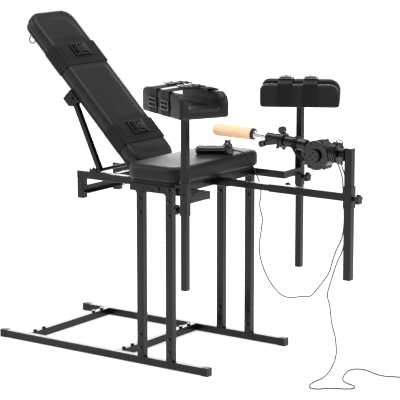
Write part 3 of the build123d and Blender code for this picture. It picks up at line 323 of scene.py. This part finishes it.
# ------------------------------------------------------------------ moulded buckles and stitched webbing
def rbox(bm, o, ax, ay, az, c, size, bev=0.0012, taper=1.0):
    """bevelled box centred at c = (a, b, h) in the axes ax, ay, az about o; taper narrows its top"""
    hx, hy, hz = size[0] / 2, size[1] / 2, size[2] / 2
    vs = []
    for k, (sx, sy, sz) in enumerate(((-1, -1, -1), (1, -1, -1), (1, 1, -1), (-1, 1, -1), (-1, -1, 1), (1, -1, 1), (1, 1, 1), (-1, 1, 1))):
        f = taper if sz > 0 else 1.0
        vs.append(bm.verts.new(o + ax * (c[0] + sx * hx * f) + ay * (c[1] + sy * hy * f) + az * (c[2] + sz * hz)))
    fs = [bm.faces.new([vs[i] for i in q]) for q in ((0, 3, 2, 1), (4, 5, 6, 7), (0, 1, 5, 4), (1, 2, 6, 5), (2, 3, 7, 6), (3, 0, 4, 7))]
    if bev > 0:
        es = list({e for f in fs for e in f.edges})
        bmesh.ops.bevel(bm, geom=es, offset=min(bev, 0.45 * min(size)), segments=2, profile=0.6, affect="EDGES")


def buckle(name, o, ax, ay, az, L, W, T, body, node):
    """side-release buckle: ax along the webbing, ay across it, az out of the surface"""
    bm = bmesh.new()
    # female half: shell with side windows
    rbox(bm, o, ax, ay, az, (L * 0.17, 0, T * 0.5), (L * 0.42, W * 0.60, T), 0.0018, 0.9)
    rbox(bm, o, ax, ay, az, (L * 0.33, 0, T * 0.42), (L * 0.12, W, T * 0.8), 0.0014, 0.94)
    rbox(bm, o, ax, ay, az, (L * 0.46, 0, T * 0.36), (L * 0.07, W, T * 0.5), 0.0012)
    for s in (-1, 1):
        rbox(bm, o, ax, ay, az, (L * 0.395, s * W * 0.46, T * 0.36), (L * 0.12, W * 0.09, T * 0.5), 0.001)
        # prongs of the male half, showing at the sides
        rbox(bm, o, ax, ay, az, (L * 0.07, s * W * 0.42, T * 0.46), (L * 0.34, W * 0.13, T * 0.62), 0.0014, 0.9)
    # male half: shoulder and bars
    rbox(bm, o, ax, ay, az, (-L * 0.13, 0, T * 0.45), (L * 0.12, W, T * 0.85), 0.0016, 0.93)
    rbox(bm, o, ax, ay, az, (-L * 0.02, 0, T * 0.40), (L * 0.16, W * 0.22, T * 0.5), 0.001)
    for s in (-1, 1):
        rbox(bm, o, ax, ay, az, (-L * 0.30, s * W * 0.46, T * 0.36), (L * 0.30, W * 0.09, T * 0.5), 0.001)
    rbox(bm, o, ax, ay, az, (-L * 0.26, 0, T * 0.40), (L * 0.05, W * 0.94, T * 0.55), 0.001)
    rbox(bm, o, ax, ay, az, (-L * 0.44, 0, T * 0.36), (L * 0.07, W, T * 0.5), 0.0012)
    # grip ribs
    for k in range(4):
        rbox(bm, o, ax, ay, az, (L * (0.06 + 0.045 * k), 0, T * 1.0), (L * 0.016, W * 0.34, T * 0.10), 0.0004)
    ob = mesh_obj(name, bm, M_BUCKLE)
    shade_by_angle(ob, 30)
    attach(ob, body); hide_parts(node)
    return ob


def strip(name, pts, nrms, across, width, thick, mat, body, slot="black_webbing", hem=True):
    """flat webbing along pts; nrms point out of the webbing; across is its width direction"""
    bm = bmesh.new()
    prof = [(-0.5, 0), (-0.47, 0.75), (-0.40, 1.0), (-0.36, 0.78), (0.36, 0.78), (0.40, 1.0), (0.47, 0.75), (0.5, 0)] if hem else [(-0.5, 0), (-0.46, 1), (0.46, 1), (0.5, 0)]
    rings = []
    for p, n in zip(pts, nrms):
        rings.append([bm.verts.new(p + across * (a * width) + n * (h * thick)) for a, h in prof])
    k = len(prof)
    for r0, r1 in zip(rings, rings[1:]):
        for i in range(k):
            bm.faces.new((r0[i], r0[(i + 1) % k], r1[(i + 1) % k], r1[i]))
    bm.faces.new(rings[0][::-1]); bm.faces.new(rings[-1])
    bmesh.ops.recalc_face_normals(bm, faces=bm.faces)
    o = mesh_obj(name, bm, mat)
    shade_by_angle(o, 40)
    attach(o, body)
    return o


SLN, SLU = Vector((C45, 0, C45)), Vector((-C45, 0, C45))
for k, m_ in enumerate((1031.0, 622.5)):
    o = P(0, 0, 0) + SLN * 0.6104 + SLU * (m_ / 1000)
    o = Vector((XO, YO, 0)) + SLN * 0.6103 + SLU * (m_ / 1000)
    buckle("back_buckle_%d" % (k + 1), o, Vector((0, 1, 0)), SLU, SLN, 0.098, 0.060, 0.0115, "backrest", "backrest_buckles")

for tag, (y0, top, a) in {"near": (-391.8, 1007.6, radians(-27.0)), "far": (391.8, 952.6, radians(30.0))}.items():
    U, V, Zu = Vector((cos(a), sin(a), 0)), Vector((-sin(a), cos(a), 0)), Vector((0, 0, 1))
    for i, u in enumerate((-58.0, 40.0)):
        o = P(506.4, y0, top + 4.8) + U * (u / 1000) + Zu * 0.1038
        b_ = buckle("rest_buckle_%s_%d" % (tag, i + 1), o, V, U, Zu, 0.092, 0.056, 0.0105, "leg_rest_" + tag, "cradle_buckles_" + tag)
    # three-bar sliders on the outer wall
    so = V * (-1 if tag == "near" else 1)
    for i, u in enumerate((-58.0, 40.0)):
        bm = bmesh.new()
        o = P(506.4, y0, top + 4.8) + U * (u / 1000) + so * 0.1009 + Zu * 0.044
        for h in (-0.0155, 0.0, 0.0155):
            rbox(bm, o, U, Zu, so, (0, h, 0.0022), (0.058, 0.0052, 0.0034), 0.0009)
        for s in (-1, 1):
            rbox(bm, o, U, Zu, so, (s * 0.0285, 0, 0.0022), (0.0055, 0.036, 0.0040), 0.0011)
        ob = mesh_obj("rest_slider_%s_%d" % (tag, i + 1), bm, M_BUCKLE)
        shade_by_angle(ob, 30)
        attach(ob, "leg_rest_" + tag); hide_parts("cradle_buckles_" + tag)

BULGE = 0.001


def smooth01(t):
    t = max(0.0, min(1.0, t))
    return t * t * (3 - 2 * t)


def soft_pad(node, name, body, mat, voxel, shrink, cap, limit, pressure=10.0, relief=0.30, warp=None, passes=2):
    """foam under vinyl: remeshed copy of the CAD solid, blown up by cloth pressure, held in by limit(co)"""
    src = N[node]
    me = src.data.copy()
    me.name = name + "_m"
    me.materials.clear()
    lo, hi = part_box(node)
    o = link(bpy.data.objects.new(name, me))
    # weld, then shrink along the normals of a voxel remesh
    md = o.modifiers.new("weld", "WELD"); md.merge_threshold = 0.00005
    md = o.modifiers.new("rm", "REMESH"); md.mode = "VOXEL"; md.voxel_size = voxel
    dg = bpy.context.evaluated_depsgraph_get()
    new = bpy.data.meshes.new_from_object(o.evaluated_get(dg))
    o.modifiers.clear()
    o.data = new
    new.update()
    base = [warp(v.co) if warp else v.co.copy() for v in new.vertices]
    nrm = [v.normal.copy() for v in new.vertices]
    for v, c, n in zip(new.vertices, base, nrm):
        v.co = c - n * shrink
    start = [v.co.copy() for v in new.vertices]
    cm = o.modifiers.new("cloth", "CLOTH")
    st = cm.settings
    st.quality = 4
    st.use_pressure = True
    st.uniform_pressure_force = pressure
    st.effector_weights.gravity = 0.0
    cm.point_cache.frame_start, cm.point_cache.frame_end = 1, 14
    sc = bpy.context.scene
    for f in range(1, 15):
        sc.frame_set(f)
    dg = bpy.context.evaluated_depsgraph_get()
    ev = o.evaluated_get(dg).to_mesh()
    moved = [v.co.copy() for v in ev.vertices]
    o.evaluated_get(dg).to_mesh_clear()
    o.modifiers.clear()
    sc.frame_set(1)
    # what the pressure did along the normals, about its mean, laid over the full-size form
    out = [(m - s).dot(n) for s, m, n in zip(start, moved, nrm)]
    mean = sum(out) / len(out)
    for v, c, n, q in zip(new.vertices, base, nrm, out):
        v.co = limit(c + n * (0.0022 + max(-0.0012, min(cap, relief * (q - mean)))))
    # even out, then hold again
    bm = bmesh.new(); bm.from_mesh(new)
    for _ in range(passes):
        bmesh.ops.smooth_vert(bm, verts=bm.verts, factor=0.5, use_axis_x=True, use_axis_y=True, use_axis_z=True)
    for v in bm.verts:
        v.co = limit(v.co)
    bm.to_mesh(new); bm.free()
    for p in new.polygons:
        p.use_smooth = True
    new.materials.clear(); new.materials.append(mat)
    sd = o.modifiers.new("sub", "SUBSURF"); sd.levels = 1; sd.render_levels = 1
    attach(o, body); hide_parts(node)
    return o


# seat cushion
slo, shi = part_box("seat_cushion")


def seat_limit(c):
    c = c.copy()
    cx, cy = (slo.x + shi.x) / 2, (slo.y + shi.y) / 2
    ex, ey = abs(c.x - cx) / ((shi.x - slo.x) / 2), abs(c.y - cy) / ((shi.y - slo.y) / 2)
    crown = 0.0045 * (1 - smooth01((max(ex, ey) - 0.3) / 0.7))
    c.z = max(slo.z + 0.0004, min(shi.z + crown, c.z))
    hz = (c.z - slo.z) / (shi.z - slo.z)
    side = 0.0065 * sin(pi * min(1, max(0, hz))) - 0.003 * (1 - smooth01(hz / 0.35))
    c.x = max(slo.x - side, min(shi.x + side, c.x))
    c.y = max(slo.y - side, min(shi.y + side, c.y))
    return c


soft_pad("seat_cushion", "seat_cushion_vinyl", "frame", M_VINYL_SEAT, 0.006, 0.004, 0.0035, seat_limit)


# backrest cushion, in slope coordinates: n out of the front face, s up the slope
def to_ns(c):
    x, z = c.x - XO, c.z
    return (x + z) * C45, (z - x) * C45


def from_ns(n, s, y):
    return Vector(((n - s) * C45 + XO, y, (n + s) * C45))


BANDS = ((0.560, 0.657), (0.964, 1.070))


def band_gap(s):
    return min(max(a - s, s - b, 0.0) for a, b in BANDS)


def back_limit(c):
    n, s = to_ns(c)
    y = c.y - YO
    open_ = smooth01((band_gap(s) - 0.003) / 0.03)
    top = 0.6058 + 0.0055 * open_ * (1 - 0.5 * smooth01((abs(y) - 0.05) / 0.07))
    n = max(0.5584, min(top, n))
    w = 0.1276 + 0.0035 * open_
    y = max(-w, min(w, y))
    s = max(0.4615, min(1.2485, s))
    return from_ns(n, s, y + YO)


soft_pad("backrest_cushion", "backrest_cushion_vinyl", "backrest", M_VINYL, 0.007, 0.004, 0.0030, back_limit)

# leg rests, in channel coordinates: u along, v across, w up
REST = {"near": (-391.8, 1007.6, radians(-27.0)), "far": (391.8, 952.6, radians(30.0))}


def rest_limit(tag):
    y0, top, a = REST[tag]
    o0 = P(506.4, y0, top + 4.8)
    U, V = Vector((cos(a), sin(a), 0)), Vector((-sin(a), cos(a), 0))

    def lim(c):
        d = c - o0
        u, v, w = d.dot(U), d.dot(V), d.z
        gap = min(max(abs(u + 0.030) - 0.028, 0), max(abs(u - 0.068) - 0.028, 0))
        gap = min(max(abs(u + 0.058 - 0.0) - 0.028, 0.0), max(abs(u - 0.040) - 0.028, 0.0))
        k = smooth01((gap - 0.002) / 0.022)
        v = max(-0.0978 - 0.0035 * k, min(0.0978 + 0.0035 * k, v))
        w = max(0.0004, min(0.0920 + 0.003 * k, w))
        u = max(-0.1575, min(0.1575, u))
        return o0 + U * u + V * v + Vector((0, 0, w))
    return lim


def rest_warp(tag):
    """fuller front top corner: the 62 mm round of the core is padded out to 44 mm"""
    y0, top, a = REST[tag]
    o0 = P(506.4, y0, top + 4.8)
    U = Vector((cos(a), sin(a), 0))

    def wp(c):
        d = c - o0
        u, w = d.dot(U), d.z
        pu, pw = u - 0.094, w - 0.030
        if pu <= 0 or pw <= 0:
            return c.copy()
        rr = sqrt(pu * pu + pw * pw)
        cc, ss = pu / rr, pw / rr
        k = 0.018
        if 0.062 * ss <= k * cc:
            R = 0.062 / cc
        elif 0.062 * cc <= k * ss:
            R = 0.062 / ss
        else:
            R = k * (cc + ss) + sqrt(k * k * (1 + 2 * cc * ss) - 2 * k * k + 0.044 ** 2)
        f = 1 + (R / 0.062 - 1) * smooth01(rr / 0.045)
        q = c + U * (pu * (f - 1))
        q.z += pw * (f - 1)
        return q
    return wp


for tag in ("near", "far"):
    soft_pad("cradle_pad_" + tag, "leg_rest_vinyl_" + tag, "leg_rest_" + tag, M_VINYL, 0.005, 0.003, 0.0022, rest_limit(tag), warp=rest_warp(tag), passes=7)

# ------------------------------------------------------------------ moulded shell of the hand controller
HA = radians(39.9)
HX_, HY_, HZ_ = Vector((cos(HA), sin(HA), 0)), Vector((-sin(HA), cos(HA), 0)), Vector((0, 0, 1))
HO = P(260.0, 17.5, 695.0 + 27.2 + 61.0 + 19.1)


def turned(bm, o, axis, e1, e2, prof, n=48):
    """solid of revolution: prof is (distance along axis, radius) in mm, first and last radius zero"""
    rings = []
    for d_, r_ in prof:
        c = o + axis * (d_ / 1000)
        if r_ == 0:
            rings.append([bm.verts.new(c)])
        else:
            rings.append([bm.verts.new(c + e1 * (r_ / 1000 * cos(2 * pi * i / n)) + e2 * (r_ / 1000 * sin(2 * pi * i / n))) for i in range(n)])
    for A, B in zip(rings, rings[1:]):
        for i in range(n):
            j = (i + 1) % n
            if len(A) == 1:
                bm.faces.new((A[0], B[i], B[j]))
            elif len(B) == 1:
                bm.faces.new((A[i], A[j], B[0]))
            else:
                bm.faces.new((A[i], A[j], B[j], B[i]))


bm = bmesh.new()
turned(bm, HO, HX_, HY_, HZ_, [(0.6, 0), (1.2, 6), (3, 11), (6.5, 15), (11.5, 17.8), (18, 18.8), (26, 18.6), (29.6, 18.3), (30.2, 17.6), (31.0, 17.6), (31.6, 18.1), (42, 17.0), (58, 15.9),
                               (76, 15.4), (94, 15.8), (108, 17.2), (118, 18.2), (127, 0)])
turned(bm, HO + HX_ * 0.127, HZ_, HX_, HY_, [(-18.7, 0), (-18.7, 17.0), (-17.6, 19.6), (-14.5, 21.0), (-6, 21.4), (4, 21.2), (12, 20.6), (18, 19.2), (23, 16.6), (26.4, 13.6), (28.0, 12.0), (28.1, 4.2), (20.0, 4.2), (20.0, 0)])
turned(bm, HO + HX_ * 0.1355, HZ_, HX_, HY_, [(-18.6, 0), (-18.6, 11.0), (-17.4, 13.6), (-14, 14.8), (-6, 14.8), (0, 13.6), (4, 10.8), (6.6, 6.0), (7.2, 0)])
e_ = (P(410.4, 139.5, 792.9) - P(374.6, 113.2, 800.0)).normalized()
s1 = e_.cross(HZ_).normalized()
turned(bm, P(374.6, 113.2, 800.0), e_, s1, s1.cross(e_), [(-6, 0), (-6, 5.6), (2, 5.6), (3.4, 5.0), (4.0, 4.3), (6.0, 4.3), (6.6, 4.7), (8.2, 4.6), (8.8, 3.9), (10.8, 3.9), (11.4, 4.2), (13.0, 4.1), (13.6, 3.5), (16, 3.2), (16.4, 0)], 24)
bmesh.ops.recalc_face_normals(bm, faces=bm.faces)
o = mesh_obj("handset_shell", bm, M_GLOSS)
shade_by_angle(o, 40)
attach(o, "frame"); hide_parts("handset_body")

# ------------------------------------------------------------------ black ring in the open end of the sleeve
CT5, ST5 = cos(radians(5.0)), sin(radians(5.0))


def on_drive(u, w=0.0, y=0.0):
    return P(838.0 - u * CT5 + (25.0 + w) * ST5, y, 842.0 + u * ST5 + (25.0 + w) * CT5)


bm = bmesh.new()
rings = []
for r, u in ((14.2, 294.92), (14.2, 293.4), (17.0, 293.0), (21.0, 293.2), (22.5, 294.2), (22.7, 295.4), (22.7, 300.3), (22.05, 300.3), (22.05, 294.92)):
    loop = []
    for i in range(40):
        a_ = 2 * pi * i / 40
        loop.append(bm.verts.new(on_drive(u, r * sin(a_), r * cos(a_))))
    rings.append(loop)
for A, B in zip(rings, rings[1:]):
    for i in range(40):
        bm.faces.new((A[i], A[(i + 1) % 40], B[(i + 1) % 40], B[i]))
A, B = rings[-1], rings[0]
for i in range(40):
    bm.faces.new((A[i], A[(i + 1) % 40], B[(i + 1) % 40], B[i]))
bmesh.ops.recalc_face_normals(bm, faces=bm.faces)
o = mesh_obj("sleeve_ring", bm, M_PLASTIC)
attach(o, "rod")

# ------------------------------------------------------------------ cables


def cable(name, pts, dia):
    cu = bpy.data.curves.new(name, "CURVE")
    cu.dimensions = "3D"
    cu.bevel_depth = dia / 2
    cu.bevel_resolution = 4
    cu.resolution_u = 8
    cu.use_fill_caps = True
    sp = cu.splines.new("NURBS")
    sp.points.add(len(pts) - 1)
    for q, p in zip(sp.points, pts):
        q.co = (*p, 1.0)
    sp.order_u = 3
    sp.use_endpoint_u = True
    cu.materials.append(M_CABLE)
    return link(bpy.data.objects.new(name, cu))


hs = [P(*q) for q in HANDSET_ROUTE]
c1 = cable("handset_cable", hs, 0.005)
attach(c1, "frame"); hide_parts("handset_cord")

CX, CY = 1162.6, 173.9
route = list(MAINS_ROUTE)
turn_pts = 14
for i in range(1, 4 * turn_pts + 1):
    t = i / turn_pts
    a = radians(-70) + 2 * pi * t
    lane = 31.2 if t < 0.8 else (25.6 if t < 2.8 else 31.2)
    if 0.8 <= t < 1.05:
        lane = 31.2 - 5.6 * (t - 0.8) / 0.25
    if 2.8 <= t < 3.05:
        lane = 25.6 + 5.6 * (t - 2.8) / 0.25
    z = 3.2 if t < 1.8 else 8.4
    if 1.8 <= t < 2.05:
        z = 3.2 + 5.2 * (t - 1.8) / 0.25
    route.append((CX + lane * cos(a), CY + lane * sin(a), z))
while atan2(route[-1][1] - CY, route[-1][0] - CX) > radians(-92):
    route.pop()
route += [(CX + 4, CY - 30.9, 8.8), (CX + 20, CY - 30.5, 9.6), (CX + 40.2, CY - 30.3, 10.0)]
ms = [P(*q) for q in route]
c2 = cable("mains_cable", ms, 0.005)
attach(c2, "frame"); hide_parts("mains_cord", "mains_coil")

# ------------------------------------------------------------------ floor and light
bm = bmesh.new()
bmesh.ops.create_grid(bm, x_segments=1, y_segments=1, size=60.0)
m, nt, b = new_mat("floor_pale")
b.inputs["Base Color"].default_value = (0.88, 0.88, 0.88, 1)
b.inputs["Roughness"].default_value = 0.9
b.inputs["Specular IOR Level"].default_value = 0.1
b.inputs["Emission Color"].default_value = (1, 1, 1, 1)
b.inputs["Emission Strength"].default_value = 0.50
floor = mesh_obj("floor", bm, m, False)

w = bpy.data.worlds.new("w")
bpy.context.scene.world = w
w.use_nodes = True
w.node_tree.nodes["Background"].inputs["Color"].default_value = (1, 1, 1, 1)
w.node_tree.nodes["Background"].inputs["Strength"].default_value = 0.60


def area(name, loc, target, size, power, sy=None):
    d = bpy.data.lights.new(name, "AREA")
    d.energy = power
    d.size = size
    if sy:
        d.shape = "RECTANGLE"; d.size_y = sy
    o = link(bpy.data.objects.new(name, d))
    o.location = loc
    o.rotation_euler = (Vector(target) - Vector(loc)).to_track_quat("-Z", "Y").to_euler()
    return o


area("key_top", (0.2, -0.4, 4.2), (0.0, 0.0, 0.6), 3.0, 120.0)
area("key_left", (-3.4, -2.6, 2.6), (0.0, 0.0, 0.8), 1.8, 60.0)
area("key_right", (3.6, 0.6, 2.4), (0.2, 0.0, 0.8), 1.6, 40.0)
back = area("back_panel", (-4.6, 5.9, 2.15), (0.0, 0.0, 0.6), 7.0, 260.0, 2.6)
back.visible_camera = False
bpy.context.scene.view_settings.view_transform = "Standard"
